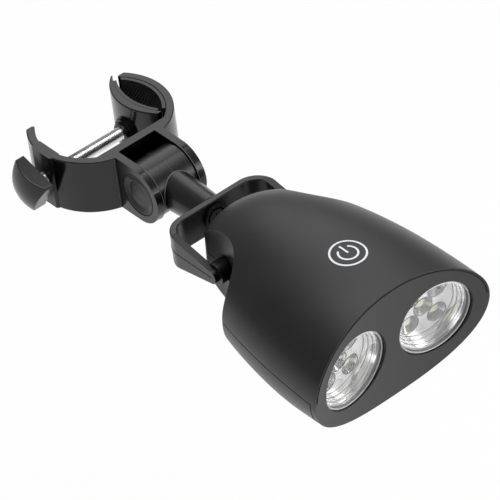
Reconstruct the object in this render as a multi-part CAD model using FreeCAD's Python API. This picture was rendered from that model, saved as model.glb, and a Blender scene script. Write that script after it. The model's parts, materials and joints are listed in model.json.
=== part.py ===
import FreeCAD, Part
import math
import os

V = FreeCAD.Vector
X_AXIS = V(1, 0, 0)
Z_AXIS = V(0, 0, 1)
FORWARD = V(0, -1, 0)
os.makedirs("parts", exist_ok=True)

# Frame while modelling: clevis pivot at the origin, light beam towards -Y, up is +Z, millimetres.
# Every shape is moved at the end so that the grip centre of the clamp hook is the origin.

# General clearances
RUN = 0.06
SNUG = 0.02
EASE = 0.1
SEAM = 0.22
OVER = 1.0
FAR = 100.0

# Clamp
CLAMP_H = 23.0
ARC_X = 3.8
GRIP_Y = 33.4
R_OUT = 24.1
WALL = 3.15
R_IN = R_OUT - WALL
ARM_BACK_Y = 16.1
ARM_FRONT_Y = 12.4
MOUTH_Y = 48.0
TIP_ROUND = 0.8
EDGE = 0.45
PLATE_X0 = -28.1
PLATE_X1 = -23.8
PLATE_Y0 = 27.6
PLATE_Y1 = 38.8

# Clevis ears, pivot plugs, friction washers and pivot screw
EAR_IN = 8.5
EAR_OUT = 11.45
EAR_R = CLAMP_H / 2
CAP_R = 8.5
CAP_DEPTH = 1.3
CAP_GAP = 0.1
CAP_RIM = 0.9
DISH_SLOPE = 2.0
DISH_DEPTH = 0.75
POST_R = 5.0
WASHER_R = 9.4
WASHER_T = 0.34
PIVOT_SCREW_R = 1.5
PIVOT_HEAD_R = 2.7
PIVOT_HEAD_H = 1.9
PIVOT_SINK = 3.2
PIVOT_REACH = 7.2

# Moving jaw and clamp screw
SCREW_Y = 32.8
SCREW_R = 2.5
INSERT_R = 3.6
INSERT_LIP = 0.8
JAW_BACK_X = 10.2
JAW_BACK_R = 20.8
JAW_FACE_X = 13.3
JAW_FACE_R = 26.1
JAW_LOW = 14.0
JAW_TOP = 16.4
JAW_DROP = 0.4
JAW_H = CLAMP_H - JAW_DROP
PAD_T = 1.25
PAD_DROP = 0.2
PAD_H = CLAMP_H - PAD_DROP
JAW_PAD_LOW = 12.6
JAW_PAD_TOP = 13.4
HOOK_PAD_LOW = 13.7
HOOK_PAD_TOP = 12.8
COLLAR_X = 7.2
COLLAR_R = 3.8
FLANGE_R = 4.7
FLANGE_T = 1.0
SEAT_STEP = 0.6
SEAT_COVER = 0.55
SEAT_X = JAW_BACK_X - SEAT_STEP
SEAT_R = FLANGE_R + SEAT_STEP
TIP_R = 3.3
TIP_X0 = 10.0
TIP_X1 = 11.9

# Thumb knob
KNOB_X0 = -31.8
KNOB_END = 2.9
KNOB_DEEP = 7.4
KNOB_T = 14.7
KNOB_WIDE = 9.0
KNOB_LOW = 5.2
KNOB_R = math.hypot(KNOB_WIDE, KNOB_T / 2)
KNOB_TURN = 16.7
KNOB_EDGE = 0.4
KNOB_CORNER = 0.8
KNOB_HUB_R = 3.9
KNOB_HUB_L = 1.4
ROD_GRIP = 3.6

# Knuckle neck and yoke
BARREL_R = 10.9
BARREL_HALF = EAR_IN - WASHER_T - EASE
NECK_R0 = 8.2
NECK_R1 = 6.5
BAR_Y = -27.1
YOKE_T = 2.76
YOKE_W = 23.2
YOKE_R = 9.5
YOKE_EDGE = 0.4
BAR_H = 13.3
ARM_TIP_H = 5.4
ARM_TAPER_Y = BAR_Y - 6.0
PIVOT_Y = -54.5
YOKE_BOSS_R = 4.2
SWIVEL_R = 2.0
SWIVEL_REACH = 12.0
SWIVEL_HEAD_R = 3.2
SWIVEL_HEAD_H = 1.5
SWIVEL_BOSS_R = 5.0
SWIVEL_BOSS_H = 0.8
SWIVEL_SINK = 1.2
SWIVEL_WASHER_R = 3.8
SWIVEL_WASHER_T = 0.5

# Head, in its own frame: tilt pivot at the origin, s counts forward, split plane at z = 0
HEAD_TILT = 3.6
HEAD_BACK = -15.4
HEAD_W = 40.2
ROOT_EASE = 1.6
WIDE_S = 78.0
WIDE_SPAN = WIDE_S - HEAD_BACK + ROOT_EASE
WIDE_POWER = 2.15
HEAD_H = 26.4
HIGH_S = 54.0
HIGH_SPAN = HIGH_S - HEAD_BACK + ROOT_EASE
HIGH_POWER = 1.87
BROW_DROP = 0.6
BROW_SPAN = 22.0
BELLY = 0.4
BELLY_SPAN = 25.0
LOFT_CROWD = 1.5
HEAD_END = 82.0
TONGUE = 15.5
FLARE_X = 40.0
FLARE_S = -4.0
FLARE_R = 24.5
FLARE_END_X = 35.0
FLARE_MID = 38.0
CORNER_IN = 2.4
CORNER_BULGE = 0.6
CORNER_S = (2.0, 3.1, 5.4)
SHELL_T = 2.2
TONGUE_END = 6.0

# Front face and bezel
FACE_S = 68.7
FACE_R = 149.0
FACE_RAKE = 2.4
BEZEL_S = 40.0
BEZEL_T = 2.3
BEZEL_INSET = 0.8

# Light engines, depths counted back from the front face
LENS_MID = 6.34
LENS_RIM = 6.23
LENS_R = (HEAD_W - LENS_RIM - LENS_MID / 2) / 2
LENS_X = LENS_MID / 2 + LENS_R
LENS_LIP = 1.1
LENS_FLANGE = LENS_R + LENS_LIP
LENS_T = 1.3
LENS_SINK = 0.5
LENS_EDGE = 0.5
LENS_WALL = 0.9
LENS_FRONT = 1.2
SEAL_Z = -2.0
SEAL_T = 0.5
FLANGE_Z = SEAL_Z - SEAL_T
LENS_Z = FLANGE_Z - LENS_T
CUP_DEPTH = 3.4
CUP_Z = LENS_Z - CUP_DEPTH
CUP_OUT = LENS_R - LENS_WALL - EASE
CUP_TOP = -LENS_SINK - LENS_FRONT - EASE
CUP_STEPS = 6
CUP_STEP = 0.22
CUP_WALL = 1.6
CUP_IN = CUP_OUT - CUP_WALL
BOWL_DEPTH = 2.4
BOWL_Z = CUP_Z - BOWL_DEPTH
BOWL_R0 = 2.1
BOWL_R1 = 0.26 * LENS_R
LED_COUNT = 4
LED_RING = 0.532 * LENS_R
LED_HALF = 1.25
LED_T = 0.8
LED_BOARD_R = LENS_R - 2 * EASE
BOARD_T = 1.6

# Tilt pivot of the head
TILT_PIN_R = 2.0
TILT_PIN_X0 = 9.0
TILT_PIN_DEEP = 4.2
TILT_WASHER_T = 0.5
TILT_BOSS_R = 5.5
TILT_BOSS_X = 8.6

# Batteries, three cells lying crosswise
CELL_R = 5.25
CELL_L = 44.5
CELL_PITCH = 11.0
CELL_S = 36.0
CELL_Z = -9.6
NUB_R = 1.9
NUB_H = 0.8
CONTACT_T = 0.6
CONTACT_HALF = 3.6
LEAF_BOW = 2.4
LEAF_HALF = 3.6
LEAF_T = 0.3
TRAY_S0 = 19.6
TRAY_S1 = 52.4
TRAY_X = 26.6
TRAY_Z = -2.0
TRAY_ROOF = 0.9
TRAY_TAB_R = 2.6

# Case screws and posts
POST_OUT = 1.6
POST_X = TRAY_X + POST_OUT
POST_S = (33.0, 47.0)
CASE_POST_R = 2.4
CASE_SCREW_R = 1.2
CASE_SCREW_L = 7.5
CASE_HEAD_R = 2.4
CASE_HEAD_H = 1.6

# Cover snap tabs
SNAP_S0 = 34.0
SNAP_S1 = 40.0
SNAP_GAP = 0.75
SNAP_T = 1.3
SNAP_UP = 3.0
SNAP_DOWN = 6.0

# Control board, touch key and leads
BOARD_X = 18.0
BOARD_S0 = 21.0
BOARD_S1 = 52.0
CHIP_X = -12.0
CHIP_S = 27.0
CHIP_SIDE = 6.0
ICON_S = 48.5
TOUCH_R = 6.0
TOUCH_T = 0.4
TOUCH_POST_R = 2.4
LEAD_R = 0.6
LEAD_X = (12.0, 15.0)
LEAD_S0 = 50.0
LEAD_END = 0.8
LEAD_S1 = FACE_S + BOWL_Z - BOARD_T - LEAD_END
LEAD_RISE = 5.0

# Cross recess of the small screws
RECESS_HALF = 1.6
RECESS_SLOT = 0.35
RECESS_DEEP = 1.0

GRIP = V(ARC_X, GRIP_Y, 0)
SIDES = ((-1, "left"), (1, "right"))


def cyl(r, p, d, length):
    return Part.makeCylinder(r, length, p, d)


def box(x0, x1, y0, y1, z0, z1):
    return Part.makeBox(x1 - x0, y1 - y0, z1 - z0, V(x0, y0, z0))


def ring(r1, r0, p, d, length):
    return cyl(r1, p, d, length).cut(cyl(r0, p, d, length))


def line(a, b):
    return Part.LineSegment(a, b).toShape()


def arc(a, b, c):
    return Part.Arc(a, b, c).toShape()


def face(edges):
    return Part.Face(Part.Wire(edges))


def edges_where(shape, test):
    return [e for e in shape.Edges if test(e)]


def lies_at(e, z):
    ends = all(abs(v.Z - z) < 1e-4 for v in e.Vertexes)
    return ends and abs(e.CenterOfMass.z - z) < 1e-4


def on_rim(e, h):
    return lies_at(e, h / 2) or lies_at(e, -h / 2)


def cross_recess(head_face, axis):
    """Crossed slots sunk from the face of a screw head whose outward direction is the given axis"""
    a = box(-RECESS_HALF, RECESS_HALF, -RECESS_SLOT, RECESS_SLOT, -RECESS_DEEP, OVER)
    b = box(-RECESS_SLOT, RECESS_SLOT, -RECESS_HALF, RECESS_HALF, -RECESS_DEEP, OVER)
    cross = a.fuse(b)
    cross.Placement = FreeCAD.Placement(head_face, FreeCAD.Rotation(Z_AXIS, axis))
    return cross


def save(name, shape):
    out = shape.copy()
    out.translate(-GRIP)
    out.exportStep("parts/" + name + ".step")


def save_head(name, shape):
    out = shape.copy()
    out.rotate(V(0, 0, 0), X_AXIS, HEAD_TILT)
    out.translate(V(0, PIVOT_Y, 0))
    save(name, out)


# Clamp body: C-shaped arm, hook, screw plate and clevis ears in one moulding
def slot_prism(r, y0, y1, h):
    body = cyl(r, V(-ARC_X, GRIP_Y, -h / 2), Z_AXIS, h)
    body = body.fuse(cyl(r, V(ARC_X, GRIP_Y, -h / 2), Z_AXIS, h))
    body = body.fuse(box(-ARC_X, ARC_X, GRIP_Y - r, GRIP_Y + r, -h / 2, h / 2))
    return body.common(box(-FAR, FAR, y0, y1, -h / 2, h / 2)).removeSplitter()


def clevis_ear(side):
    x0 = min(side * EAR_IN, side * EAR_OUT)
    ear = box(x0, x0 + EAR_OUT - EAR_IN, 0, ARM_FRONT_Y + WALL / 2, -EAR_R, EAR_R)
    return ear.fuse(cyl(EAR_R, V(x0, 0, 0), X_AXIS, EAR_OUT - EAR_IN))


body = slot_prism(R_OUT, GRIP_Y - R_OUT - OVER, MOUTH_Y, CLAMP_H)
body = body.cut(box(-EAR_OUT, EAR_OUT, 0, ARM_FRONT_Y, -CLAMP_H, CLAMP_H))
body = body.cut(slot_prism(R_IN, ARM_BACK_Y, GRIP_Y + R_OUT + OVER, CLAMP_H + OVER))
tips = edges_where(body, lambda e: abs(e.Length - CLAMP_H) < 1e-3 and e.CenterOfMass.y > MOUTH_Y - SNUG)
body = body.makeFillet(TIP_ROUND, tips)
rims = edges_where(body, lambda e: on_rim(e, CLAMP_H) and e.CenterOfMass.y > ARM_BACK_Y - RUN)
body = body.makeFillet(EDGE, rims)
plate = box(PLATE_X0, PLATE_X1, PLATE_Y0, PLATE_Y1, -CLAMP_H / 2, CLAMP_H / 2)
corners = edges_where(plate, lambda e: abs(e.Length - CLAMP_H) < 1e-3 and e.CenterOfMass.x < PLATE_X0 + SNUG)
body = body.fuse(plate.makeChamfer(TIP_ROUND, corners))
for side, name in SIDES:
    body = body.fuse(clevis_ear(side))
body = body.removeSplitter()
for side, name in SIDES:
    outer = V(side * EAR_OUT, 0, 0)
    inward = V(-side, 0, 0)
    body = body.cut(cyl(CAP_R, outer, inward, CAP_DEPTH))
    body = body.cut(cyl(POST_R + SNUG, outer, inward, EAR_OUT - EAR_IN + OVER))
insert_x = PLATE_X0 + INSERT_LIP
insert_l = PLATE_X1 - insert_x
body = body.cut(cyl(SCREW_R + EASE, V(PLATE_X0 - OVER, SCREW_Y, 0), X_AXIS, INSERT_LIP + 2 * OVER))
body = body.cut(cyl(INSERT_R, V(insert_x, SCREW_Y, 0), X_AXIS, insert_l + OVER))
save("clamp_body", body)

# Threaded bush in the plate and rubber liner of the hook
save("screw_insert", ring(INSERT_R, SCREW_R + EASE, V(insert_x, SCREW_Y, 0), X_AXIS, insert_l))
pad = ring(R_IN, R_IN - PAD_T, V(ARC_X, GRIP_Y, -PAD_H / 2), Z_AXIS, PAD_H)
pad = pad.common(box(ARC_X, FAR, GRIP_Y - HOOK_PAD_LOW, GRIP_Y + HOOK_PAD_TOP, -PAD_H, PAD_H))
save("hook_pad", pad)

# Moving jaw: crescent block with a screw pocket in its back
face_x = JAW_FACE_X + JAW_FACE_R
crescent = cyl(JAW_BACK_R, V(JAW_BACK_X + JAW_BACK_R, GRIP_Y, -JAW_H / 2), Z_AXIS, JAW_H)
crescent = crescent.cut(cyl(JAW_FACE_R, V(face_x, GRIP_Y, -CLAMP_H), Z_AXIS, 2 * CLAMP_H))
span = box(0, face_x, GRIP_Y - JAW_LOW, GRIP_Y + JAW_TOP, -CLAMP_H, CLAMP_H)
crescent = crescent.common(span).removeSplitter()
back_rim = edges_where(crescent, lambda e: on_rim(e, JAW_H) and e.Length > JAW_LOW and e.CenterOfMass.x < JAW_FACE_X)
crescent = crescent.makeFillet(EDGE, back_rim)
crescent = crescent.fuse(cyl(SEAT_R, V(SEAT_X, SCREW_Y, 0), X_AXIS, JAW_FACE_X - SEAT_X - SEAT_COVER))
pocket_l = TIP_X1 + EASE - SEAT_X
crescent = crescent.removeSplitter().cut(cyl(TIP_R + EASE, V(SEAT_X, SCREW_Y, 0), X_AXIS, pocket_l))
save("jaw_block", crescent)

liner = ring(JAW_FACE_R, JAW_FACE_R - PAD_T, V(face_x, GRIP_Y, -PAD_H / 2), Z_AXIS, PAD_H)
grip_span = box(0, face_x, GRIP_Y - JAW_PAD_LOW, GRIP_Y + JAW_PAD_TOP, -CLAMP_H, CLAMP_H)
save("jaw_pad", liner.common(grip_span))

# Stepped collar that keeps the screw tip in the jaw
collar = ring(COLLAR_R, SCREW_R + EASE, V(COLLAR_X, SCREW_Y, 0), X_AXIS, SEAT_X - COLLAR_X)
flange = ring(FLANGE_R, SCREW_R + EASE, V(SEAT_X - FLANGE_T, SCREW_Y, 0), X_AXIS, FLANGE_T)
collar = collar.fuse(flange).removeSplitter()
collar_rim = edges_where(collar, lambda e: abs(e.CenterOfMass.x - COLLAR_X) < 1e-4 and e.Length > 2 * math.pi * TIP_R)
save("jaw_collar", collar.makeFillet(EDGE, collar_rim))

# Clamp screw with an upset tip held behind the collar
rod_x = KNOB_X0 - ROD_GRIP
rod = cyl(SCREW_R, V(rod_x, SCREW_Y, 0), X_AXIS, TIP_X0 - rod_x)
rod = rod.fuse(cyl(TIP_R, V(TIP_X0, SCREW_Y, 0), X_AXIS, TIP_X1 - TIP_X0))
save("clamp_screw", rod.removeSplitter())

# Thumb knob: domed button with two flats and tapered ends, on the outer end of the screw
sag = KNOB_DEEP - KNOB_END
dome_r = (KNOB_R ** 2 + sag ** 2) / (2 * sag)
upper = [V(KNOB_X0, -KNOB_WIDE, KNOB_T / 2), V(KNOB_X0, KNOB_WIDE, KNOB_T / 2)]
lower = [V(KNOB_X0, KNOB_LOW, -KNOB_T / 2), V(KNOB_X0, -KNOB_LOW, -KNOB_T / 2)]
plan = Part.Face(Part.makePolygon(upper + lower + upper[:1]))
knob = plan.extrude(X_AXIS * -(KNOB_DEEP + OVER))
knob = knob.makeFillet(KNOB_CORNER, edges_where(knob, lambda e: abs(e.Length - KNOB_DEEP - OVER) < 1e-4))
knob = knob.common(Part.makeSphere(dome_r, V(KNOB_X0 - KNOB_DEEP + dome_r, 0, 0))).Solids[0]
dome_rim = edges_where(knob, lambda e: max(v.X for v in e.Vertexes) < KNOB_X0 - SNUG)
knob = knob.makeFillet(KNOB_EDGE, dome_rim)
knob = knob.fuse(cyl(KNOB_HUB_R, V(KNOB_X0 - OVER, 0, 0), X_AXIS, KNOB_HUB_L + OVER)).removeSplitter()
knob.rotate(V(0, 0, 0), X_AXIS, KNOB_TURN)
knob.translate(V(0, SCREW_Y, 0))
save("thumb_knob", knob.cut(cyl(SCREW_R, V(rod_x, SCREW_Y, 0), X_AXIS, KNOB_DEEP + 2 * KNOB_HUB_L)))

# Clevis pivot: two dished plugs drawn together by one screw, friction washers beside the barrel
cap_x = EAR_OUT - CAP_GAP
head_x = cap_x - PIVOT_SINK
for side, name in SIDES:
    inward = V(-side, 0, 0)
    outer = V(side * cap_x, 0, 0)
    plug = cyl(CAP_R - EASE, outer, inward, CAP_DEPTH - CAP_GAP)
    plug = plug.cut(Part.makeCone(CAP_R - CAP_RIM, CAP_R - CAP_RIM - DISH_SLOPE, DISH_DEPTH, outer, inward))
    post_x = cap_x - DISH_DEPTH
    plug = plug.fuse(cyl(POST_R, V(side * post_x, 0, 0), inward, post_x - EASE)).removeSplitter()
    plug = plug.cut(cyl(PIVOT_SCREW_R + EASE, V(0, 0, 0), V(side, 0, 0), PIVOT_REACH + EASE))
    if side > 0:
        plug = plug.cut(cyl(PIVOT_SCREW_R + EASE, V(0, 0, 0), X_AXIS, EAR_OUT))
        plug = plug.cut(cyl(PIVOT_HEAD_R + EASE, V(head_x, 0, 0), X_AXIS, PIVOT_SINK + OVER))
    save(name + "_pivot_plug", plug)
    washer = ring(WASHER_R, POST_R + EASE, V(side * EAR_IN, 0, 0), inward, WASHER_T)
    save(name + "_friction_washer", washer)
screw = cyl(PIVOT_SCREW_R, V(-PIVOT_REACH, 0, 0), X_AXIS, head_x + PIVOT_REACH)
screw = screw.fuse(cyl(PIVOT_HEAD_R, V(head_x, 0, 0), X_AXIS, PIVOT_HEAD_H)).removeSplitter()
screw = screw.cut(cross_recess(V(head_x + PIVOT_HEAD_H, 0, 0), X_AXIS))
save("pivot_screw", screw)

# Knuckle: barrel and tapered neck that carries the yoke
barrel = cyl(BARREL_R, V(-BARREL_HALF, 0, 0), X_AXIS, 2 * BARREL_HALF)
barrel = barrel.fuse(Part.makeCone(NECK_R0, NECK_R1, -BAR_Y - RUN, V(0, 0, 0), FORWARD)).removeSplitter()
barrel = barrel.cut(cyl(POST_R + RUN, V(-BARREL_R, 0, 0), X_AXIS, 2 * BARREL_R))
barrel = barrel.cut(cyl(SWIVEL_R, V(0, BAR_Y + SWIVEL_REACH, 0), FORWARD, SWIVEL_REACH))
save("knuckle", barrel)


# Yoke: rounded U bracket, arms tapering to the tilt bosses
def rounded_u(w, y0, y1, r):
    k = r * (1 - math.sqrt(0.5))
    right = [V(w - r, y0, 0), V(w - k, y0 - k, 0), V(w, y0 - r, 0), V(w, y1, 0)]
    left = [V(-p.x, p.y, 0) for p in right]
    edges = [line(left[3], left[2]), arc(left[2], left[1], left[0]), line(left[0], right[0])]
    edges += [arc(right[0], right[1], right[2]), line(right[2], right[3]), line(right[3], left[3])]
    return face(edges)


def yoke_side():
    h0 = BAR_H / 2
    h1 = ARM_TIP_H / 2
    back = BAR_Y + OVER
    low = [V(-FAR, back, -h0), V(-FAR, ARM_TAPER_Y, -h0), V(-FAR, PIVOT_Y, -h1)]
    high = [V(-FAR, p.y, -p.z) for p in low]
    edges = [line(low[0], low[1]), line(low[1], low[2]), arc(low[2], V(-FAR, tip_y, 0), high[2])]
    edges += [line(high[2], high[1]), line(high[1], high[0]), line(high[0], low[0])]
    return face(edges).extrude(V(2 * FAR, 0, 0))


tip_y = PIVOT_Y - ARM_TIP_H / 2
inner_w = YOKE_W - YOKE_T
head_y = BAR_Y - YOKE_T
sink_y = head_y + SWIVEL_SINK
plan = rounded_u(YOKE_W, BAR_Y, tip_y, YOKE_R)
plan = plan.cut(rounded_u(inner_w, head_y, tip_y - OVER, YOKE_R - YOKE_T))
yoke = plan.extrude(V(0, 0, BAR_H))
yoke.translate(V(0, 0, -BAR_H / 2))
yoke = yoke.common(yoke_side()).removeSplitter()
bar_edges = edges_where(yoke, lambda e: on_rim(e, BAR_H) and e.Length > YOKE_T + OVER)
yoke = yoke.makeChamfer(YOKE_EDGE, bar_edges)
boss_in = TONGUE + TILT_WASHER_T + EASE
for side, name in SIDES:
    boss = cyl(YOKE_BOSS_R, V(side * boss_in, PIVOT_Y, 0), V(side, 0, 0), inner_w + YOKE_T / 4 - boss_in)
    yoke = yoke.fuse(boss)
yoke = yoke.fuse(cyl(SWIVEL_BOSS_R, V(0, head_y + YOKE_T / 4, 0), FORWARD, SWIVEL_BOSS_H + YOKE_T / 4))
yoke = yoke.removeSplitter()
for side, name in SIDES:
    bore = cyl(TILT_PIN_R + RUN, V(side * boss_in, PIVOT_Y, 0), V(side, 0, 0), TILT_PIN_DEEP + EASE)
    yoke = yoke.cut(bore)
yoke = yoke.cut(cyl(SWIVEL_WASHER_R + EASE, V(0, sink_y, 0), FORWARD, SWIVEL_SINK + SWIVEL_BOSS_H + OVER))
yoke = yoke.cut(cyl(SWIVEL_R + RUN, V(0, BAR_Y + OVER, 0), FORWARD, YOKE_T + 2 * OVER))
save("yoke", yoke)

# Swivel washer and screw
washer_y = sink_y - RUN
save("swivel_washer", ring(SWIVEL_WASHER_R, SWIVEL_R, V(0, washer_y, 0), FORWARD, SWIVEL_WASHER_T))
shank_y = BAR_Y + SWIVEL_REACH
under_y = washer_y - SWIVEL_WASHER_T
swivel = cyl(SWIVEL_R, V(0, shank_y, 0), FORWARD, shank_y - under_y)
swivel = swivel.fuse(cyl(SWIVEL_HEAD_R, V(0, under_y, 0), FORWARD, SWIVEL_HEAD_H)).removeSplitter()
save("swivel_screw", swivel.cut(cross_recess(V(0, under_y - SWIVEL_HEAD_H, 0), FORWARD)))


# Head surfaces: half ellipses lofted forward, trimmed to the waisted plan outline
def half_w(s):
    t = max(0.0, (WIDE_S - s) / WIDE_SPAN)
    return HEAD_W * (1 - t ** WIDE_POWER) ** (1 / 3.0)


def half_h(s):
    if s > HIGH_S:
        return HEAD_H - BROW_DROP * ((s - HIGH_S) / BROW_SPAN) ** 2
    return HEAD_H * (1 - ((HIGH_S - s) / HIGH_SPAN) ** HIGH_POWER) ** (1 / 3.0)


def half_section(s, inset, up):
    a = half_w(s) - inset
    b = half_h(s) - inset
    n = 2.0
    if up < 0:
        n = n + BELLY * min(1.0, max(0.0, (WIDE_S - s) / BELLY_SPAN))
    count = 16
    pts = [V(a, -s, 0)]
    for i in range(1, count):
        c = math.cos(math.pi * i / count)
        d = math.sin(math.pi * i / count)
        pts.append(V(math.copysign(abs(c) ** (2.0 / n), c) * a, -s, up * d ** (2.0 / n) * b))
    pts.append(V(-a, -s, 0))
    curve = Part.BSplineCurve()
    curve.interpolate(pts)
    return Part.Wire([curve.toShape(), line(pts[-1], pts[0])])


def half_loft(s0, s1, inset, up):
    count = 12
    stations = [s0 + (s1 - s0) * (k / count) ** LOFT_CROWD for k in range(count + 1)]
    return Part.makeLoft([half_section(s, inset, up) for s in stations], True, False)


def plan_prism(inset, back):
    t = TONGUE - inset
    r = FLARE_R + inset
    mid = math.radians(FLARE_MID)
    end_s = FLARE_S + math.sqrt(r * r - (FLARE_X - FLARE_END_X) ** 2)
    inward = (CORNER_IN, CORNER_BULGE, 0.0)
    corner = [V(t - x, -back - c, 0) for x, c in zip(inward, CORNER_S)]
    flare = [V(t, -FLARE_S, 0), V(FLARE_X - r * math.cos(mid), -FLARE_S - r * math.sin(mid), 0)]
    flare += [V(FLARE_END_X, -end_s, 0), V(HEAD_W + OVER, -end_s - OVER, 0), V(HEAD_W + OVER, -FAR, 0)]
    right = corner + flare
    left = [V(-p.x, p.y, 0) for p in right]
    edges = [arc(left[0], V(0, -back, 0), right[0])]
    for p in (right, left):
        edges += [arc(p[0], p[1], p[2]), line(p[2], p[3]), arc(p[3], p[4], p[5])]
        edges += [line(p[5], p[6]), line(p[6], p[7])]
    edges.append(line(right[7], left[7]))
    prism = face(Part.__sortEdges__(edges)).extrude(V(0, 0, 2 * FAR))
    prism.translate(V(0, 0, -FAR))
    return prism


def face_cyl(extra):
    c = cyl(FACE_R + extra, V(0, -FACE_S - FACE_R, -FAR), Z_AXIS, 2 * FAR)
    c.rotate(V(0, -FACE_S, 0), X_AXIS, FACE_RAKE)
    return c


def raked_box(y0, y1):
    zone = box(-FAR, FAR, y0, y1, -FAR, FAR)
    zone.rotate(V(0, -TONGUE_END, 0), X_AXIS, FACE_RAKE)
    return zone.common(box(-FAR, FAR, -FAR, FAR, -FAR, -SEAM))


plan_out = plan_prism(0.0, HEAD_BACK)
plan_in = plan_prism(SHELL_T, HEAD_BACK + SHELL_T)
inner_back = HEAD_BACK + 1.5 * SHELL_T
upper = half_loft(HEAD_BACK, HEAD_END, 0.0, 1).common(plan_out)
lower = half_loft(HEAD_BACK, HEAD_END, 0.0, -1).common(plan_out)
hollow_up = half_loft(inner_back, HEAD_END, SHELL_T, 1).common(plan_in)
hollow_low = half_loft(inner_back, HEAD_END, SHELL_T, -1).common(plan_in)
posts = [V(side * POST_X, -s, 0) for side, name in SIDES for s in POST_S]

# Upper shell with the bezel rebate, tilt bosses and four screw posts
shell = upper.cut(hollow_up).cut(face_cyl(0.0))
shell = shell.cut(half_loft(BEZEL_S, HEAD_END, BEZEL_INSET - EASE, 1).common(face_cyl(BEZEL_T + EASE)))
for side, name in SIDES:
    shell = shell.fuse(cyl(TILT_BOSS_R, V(side * TILT_BOSS_X, 0, 0), V(side, 0, 0), TONGUE - TILT_BOSS_X))
for p in posts:
    post = cyl(CASE_POST_R, p + V(0, 0, TRAY_ROOF), Z_AXIS, HEAD_H)
    shell = shell.fuse(post.common(upper))
shell = shell.removeSplitter()
for p in posts:
    shell = shell.cut(cyl(CASE_SCREW_R, p, Z_AXIS, CASE_SCREW_L))
for side, name in SIDES:
    shell = shell.cut(cyl(TILT_PIN_R, V(side * TILT_BOSS_X, 0, 0), V(side, 0, 0), TONGUE))
    shell = shell.cut(cyl(TILT_BOSS_R, V(side * TONGUE, 0, 0), V(side, 0, 0), TONGUE))
save_head("upper_shell", shell)

# Lower tongue cap, fixed under the tilt bosses
lower_skin = lower.cut(hollow_low)
cap = lower_skin.common(raked_box(-TONGUE_END, FAR))
cap = cap.cut(cyl(TILT_BOSS_R + EASE, V(-FAR, 0, 0), X_AXIS, 2 * FAR))
save_head("tongue_cap", cap)

# Drop-off battery cover with two snap tabs
cover = lower_skin.common(raked_box(-FAR, -TONGUE_END - SEAM)).cut(face_cyl(BEZEL_T + SEAM))
snap_x = half_w(SNAP_S0) - SHELL_T - SNAP_GAP
snap_root = half_w(SNAP_S0) - SHELL_T / 2
for side, name in SIDES:
    inner_x = side * (snap_x - SNAP_T)
    for outer_x, top in ((side * snap_x, SNAP_UP), (side * snap_root, -SEAM)):
        x0 = min(inner_x, outer_x)
        x1 = max(inner_x, outer_x)
        cover = cover.fuse(box(x0, x1, -SNAP_S1, -SNAP_S0, -SNAP_DOWN, top))
save_head("battery_cover", cover.removeSplitter())


# Light engines: modelled facing +Z at the origin, then set on the curved front face
def lens_place(shape, side):
    out = shape.copy()
    out.rotate(V(0, 0, 0), X_AXIS, 90)
    out.rotate(V(0, 0, 0), Z_AXIS, -side * math.degrees(math.asin(LENS_X / FACE_R)))
    depth = FACE_R - math.sqrt(FACE_R ** 2 - LENS_X ** 2)
    out.translate(V(side * LENS_X, -FACE_S - depth, 0))
    out.rotate(V(0, -FACE_S, 0), X_AXIS, FACE_RAKE)
    return out


def disc(r, z0, z1):
    return cyl(r, V(0, 0, z0), Z_AXIS, z1 - z0)


# Front bezel with two lens holes
bezel = half_loft(BEZEL_S, HEAD_END, BEZEL_INSET, 1).fuse(half_loft(BEZEL_S, HEAD_END, 0.0, -1))
bezel = bezel.common(face_cyl(BEZEL_T)).cut(face_cyl(0.0))
for side, name in SIDES:
    bezel = bezel.cut(lens_place(disc(LENS_R + EASE, -FAR / 4, FAR / 4), side))
    bezel = bezel.cut(lens_place(disc(LENS_FLANGE + EASE, CUP_Z, SEAL_Z), side))
save_head("front_bezel", bezel)

spots = [V(0, 0, 0)]
for k in range(LED_COUNT):
    turn = 2 * math.pi * (k + 0.5) / LED_COUNT
    spots.append(V(LED_RING * math.cos(turn), LED_RING * math.sin(turn), 0))
for side, name in SIDES:
    lens = disc(LENS_FLANGE, LENS_Z, FLANGE_Z).fuse(disc(LENS_R, LENS_Z, -LENS_SINK)).removeSplitter()
    lens = lens.makeFillet(LENS_EDGE, edges_where(lens, lambda e: lies_at(e, -LENS_SINK)))
    lens = lens.cut(disc(LENS_R - LENS_WALL, LENS_Z, -LENS_SINK - LENS_FRONT))
    save_head(name + "_lens", lens_place(lens, side))
    seal = disc(LENS_FLANGE, FLANGE_Z, SEAL_Z).cut(disc(LENS_R + RUN, FLANGE_Z, SEAL_Z))
    save_head(name + "_lens_seal", lens_place(seal, side))
    cup = disc(LENS_FLANGE, BOWL_Z, LENS_Z).fuse(disc(CUP_OUT, BOWL_Z, CUP_TOP)).removeSplitter()
    for k in range(CUP_STEPS):
        cup = cup.cut(disc(CUP_IN + k * CUP_STEP, CUP_Z + k * (CUP_TOP - CUP_Z) / CUP_STEPS, 0))
    chips = []
    for p in spots:
        cup = cup.cut(Part.makeCone(BOWL_R0, BOWL_R1, BOWL_DEPTH, p + V(0, 0, BOWL_Z), Z_AXIS))
        chips.append(Part.makeBox(2 * LED_HALF, 2 * LED_HALF, LED_T, p + V(-LED_HALF, -LED_HALF, BOWL_Z)))
    save_head(name + "_reflector", lens_place(cup, side))
    save_head(name + "_leds", lens_place(Part.makeCompound(chips), side))
    led_board = disc(LED_BOARD_R, BOWL_Z - BOARD_T, BOWL_Z)
    save_head(name + "_led_board", lens_place(led_board, side))

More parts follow.
